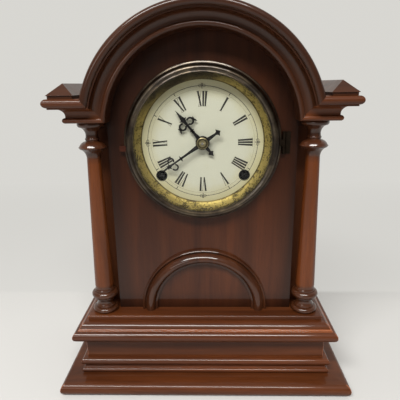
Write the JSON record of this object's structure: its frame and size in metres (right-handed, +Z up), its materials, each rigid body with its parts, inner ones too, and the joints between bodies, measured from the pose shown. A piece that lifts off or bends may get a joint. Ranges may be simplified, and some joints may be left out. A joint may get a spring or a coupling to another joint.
{
  "type": "shelf clock",
  "caption": "Arched wooden shelf clock with turned columns on a stepped base, glazed hinged bezel, pierced hands and a pendulum movement behind a back door.",
  "frame": {"origin": "middle of the rectangle that the clock stands on", "axes": "+Z up, the dial faces -Y, +X to the right of a person who faces the dial"},
  "size_m": [0.2846, 0.144, 0.3611],
  "materials": {
    "walnut": "french polished",
    "case_back": "oiled",
    "bronze": "dark patina",
    "hinge_brass": "dulled",
    "gilt": "gilt, tarnished",
    "glass": "polished",
    "dial_paint": "aged enamel paint",
    "blued_steel": "blued black",
    "clock_brass": "satin",
    "steel": "satin",
    "bell_metal": "turned",
    "iron": "black"
  },
  "bodies": {
    "case": {"arched_hood": "walnut", "archivolt": "walnut", "back_board": "case_back", "back_plate": "clock_brass", "base_deck": "walnut", "bell": "bell_metal", "bell_stand": "iron", "bezel_hinge_leaf": "hinge_brass", "column_left": "walnut", "column_right": "walnut", "corner_post_left": "walnut", "corner_post_right": "walnut", "cornice_cap_left": "walnut", "cornice_cap_right": "walnut", "cornice_left": "walnut", "cornice_right": "walnut", "dial": "dial_paint", "door_hinge_leaves": "hinge_brass", "frieze_board": "walnut", "front_panel": "walnut", "front_plate": "clock_brass", "lower_arch_moulding": "walnut", "lower_base_moulding": "walnut", "mainsprings": "steel", "pillar_nuts": "clock_brass", "plate_pillars": "steel", "plinth_board": "walnut", "side_board_left": "walnut", "side_board_right": "walnut", "sight_ring": "gilt", "suspension_cock": "clock_brass", "upper_base_moulding": "walnut", "wood_screws": "steel"},
    "bezel": {"bezel_ring": "bronze", "bezel_glass": "glass", "bezel_hinge_flap": "hinge_brass", "bezel_finger_tab": "bronze"},
    "minute": {"centre_arbor": "clock_brass", "minute_hand": "blued_steel", "hand_washer": "clock_brass"},
    "hour": {"hour_wheel": "clock_brass", "hour_hand": "blued_steel"},
    "minute_wheel": {"minute_wheel": "clock_brass"},
    "time_great": {"time_great_wheel": "clock_brass"},
    "time_second": {"time_second_wheel": "clock_brass"},
    "time_third": {"time_third_wheel": "clock_brass"},
    "escape": {"escape_wheel": "clock_brass"},
    "strike_great": {"strike_great_wheel": "clock_brass"},
    "strike_second": {"strike_second_wheel": "clock_brass"},
    "strike_third": {"strike_third_wheel": "clock_brass"},
    "fly": {"strike_fly": "clock_brass"},
    "pendulum": {"suspension_spring": "steel", "pendulum_rod": "steel", "pendulum_bob": "clock_brass", "rating_nut": "clock_brass"},
    "verge": {"verge_crutch": "steel"},
    "hammer": {"strike_hammer": "steel"},
    "back_door": {"back_door": "case_back", "door_hinge_flaps": "hinge_brass"},
    "door_button": {"door_button": "hinge_brass"}
  },
  "joints": [
    {"name": "bezel_swing", "type": "hinge", "parent": "case", "child": "bezel", "pos_m": [0.0738, -0.0309, 0.243], "axis": [0, 0, 1], "range_deg": [0, 85]},
    {"name": "minute_turn", "type": "hinge", "parent": "case", "child": "minute", "pos_m": [0, 0, 0.243], "axis": [0, 1, 0], "continuous": true},
    {"name": "hour_turn", "type": "hinge", "parent": "case", "child": "hour", "pos_m": [0, 0, 0.243], "axis": [0, 1, 0], "continuous": true},
    {"name": "minute_wheel_turn", "type": "hinge", "parent": "case", "child": "minute_wheel", "pos_m": [-0.01273, 0, 0.25573], "axis": [0, 1, 0], "continuous": true},
    {"name": "time_great_turn", "type": "hinge", "parent": "case", "child": "time_great", "pos_m": [0.039, 0, 0.212], "axis": [0, 1, 0], "continuous": true},
    {"name": "time_second_turn", "type": "hinge", "parent": "case", "child": "time_second", "pos_m": [0.02644, 0, 0.24089], "axis": [0, 1, 0], "continuous": true},
    {"name": "time_third_turn", "type": "hinge", "parent": "case", "child": "time_third", "pos_m": [0.00673, 0, 0.26811], "axis": [0, 1, 0], "continuous": true},
    {"name": "escape_turn", "type": "hinge", "parent": "case", "child": "escape", "pos_m": [0, 0, 0.29323], "axis": [0, 1, 0], "continuous": true},
    {"name": "strike_great_turn", "type": "hinge", "parent": "case", "child": "strike_great", "pos_m": [-0.039, 0, 0.212], "axis": [0, 1, 0], "continuous": true},
    {"name": "strike_second_turn", "type": "hinge", "parent": "case", "child": "strike_second", "pos_m": [-0.039, 0, 0.2435], "axis": [0, 1, 0], "continuous": true},
    {"name": "strike_third_turn", "type": "hinge", "parent": "case", "child": "strike_third", "pos_m": [-0.0288, 0, 0.26117], "axis": [0, 1, 0], "continuous": true},
    {"name": "fly_turn", "type": "hinge", "parent": "case", "child": "fly", "pos_m": [-0.03158, 0, 0.27692], "axis": [0, 1, 0], "continuous": true},
    {"name": "pendulum_swing", "type": "hinge", "parent": "case", "child": "pendulum", "pos_m": [0, 0.0245, 0.312], "axis": [0, 1, 0], "range_deg": [-4, 4]},
    {"name": "verge_rock", "type": "hinge", "parent": "case", "child": "verge", "pos_m": [0, 0, 0.312], "axis": [0, 1, 0], "range_deg": [-4, 4]},
    {"name": "hammer_lift", "type": "hinge", "parent": "case", "child": "hammer", "pos_m": [-0.014, 0.0375, 0.193], "axis": [0, -1, 0], "range_deg": [0, 10], "stiffness_Nm_per_rad": 0.004, "springref_deg": -17.19},
    {"name": "back_door_swing", "type": "hinge", "parent": "case", "child": "back_door", "pos_m": [0.052, 0.06966, 0.183], "axis": [0, 0, -1], "range_deg": [0, 100]},
    {"name": "door_button_turn", "type": "hinge", "parent": "case", "child": "door_button", "pos_m": [-0.06, 0.0691, 0.1835], "axis": [0, 1, 0], "range_deg": [0, 90]}
  ],
  "couplings": [
    {"joint": "time_great_turn", "follows": "minute_turn", "ratio": 0.069444},
    {"joint": "time_second_turn", "follows": "minute_turn", "ratio": -0.41667},
    {"joint": "time_third_turn", "follows": "minute_turn", "ratio": -12},
    {"joint": "escape_turn", "follows": "minute_turn", "ratio": 144},
    {"joint": "minute_wheel_turn", "follows": "minute_turn", "ratio": -0.33333},
    {"joint": "hour_turn", "follows": "minute_turn", "ratio": 0.083333},
    {"joint": "strike_second_turn", "follows": "strike_great_turn", "ratio": -6},
    {"joint": "strike_third_turn", "follows": "strike_great_turn", "ratio": 45},
    {"joint": "fly_turn", "follows": "strike_great_turn", "ratio": -315},
    {"joint": "verge_rock", "follows": "pendulum_swing", "ratio": 1}
  ]
}
